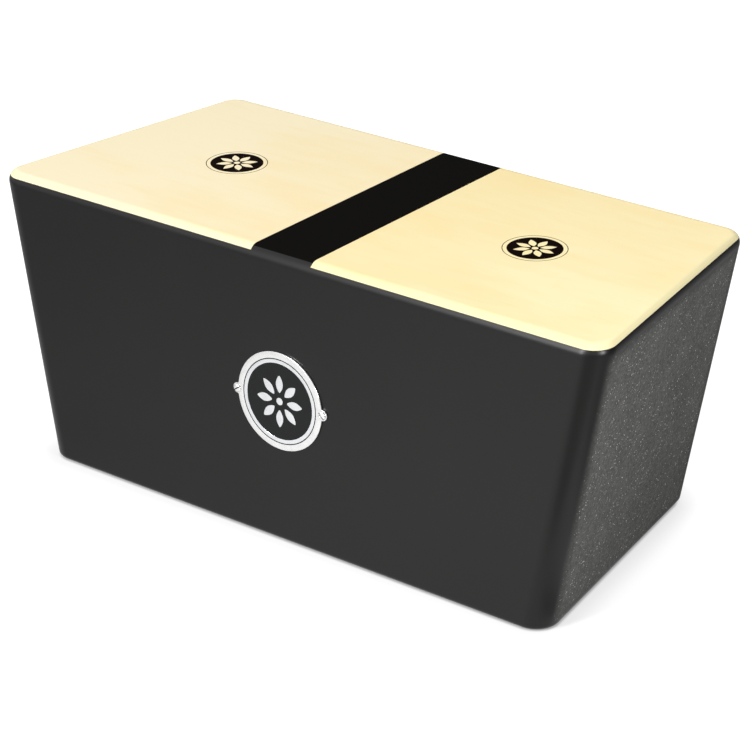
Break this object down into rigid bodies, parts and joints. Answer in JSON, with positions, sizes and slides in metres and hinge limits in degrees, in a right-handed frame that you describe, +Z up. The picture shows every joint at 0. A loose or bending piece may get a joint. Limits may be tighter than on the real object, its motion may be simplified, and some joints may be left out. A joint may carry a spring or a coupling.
{
  "type": "bongo cajon",
  "caption": "Wooden box drum held between the knees, with a low and a high plywood playing board, a black case and a round badge.",
  "frame": {"origin": "middle of the whole box in plan, on the surface it rests on", "axes": "+X along the length towards the high drum, +Y from the badge's face to the player's face with the sound ports, +Z up out of the playing boards"},
  "size_m": [0.5002, 0.227, 0.211],
  "materials": {
    "satin_black_lacquer": "wood fibreboard under sprayed satin black lacquer",
    "black_grip_coat": "wood fibreboard under a rough dark grey grip coat with fine pale specks",
    "raw_fibreboard": "bare fibreboard, matt",
    "pale_plywood": "pale plywood face under clear satin lacquer, faint grain along the length",
    "plated_metal": "bright plated, brushed finely in circles",
    "badge_enamel_black": "smooth black enamel"
  },
  "bodies": {
    "root": {"front_panel": "satin_black_lacquer", "back_panel": "satin_black_lacquer", "left_end_panel": "black_grip_coat", "right_end_panel": "black_grip_coat", "bottom_panel": "raw_fibreboard", "divider": "raw_fibreboard", "bridge_beam": "raw_fibreboard", "low_playing_board": "pale_plywood", "high_playing_board": "pale_plywood", "centre_rail": "satin_black_lacquer", "front_left_post": "raw_fibreboard", "front_right_post": "raw_fibreboard", "back_left_post": "raw_fibreboard", "back_right_post": "raw_fibreboard", "badge_plate": "plated_metal", "badge_enamel": "badge_enamel_black", "badge_pin_left": "plated_metal", "badge_pin_right": "plated_metal"}
  },
  "joints": []
}
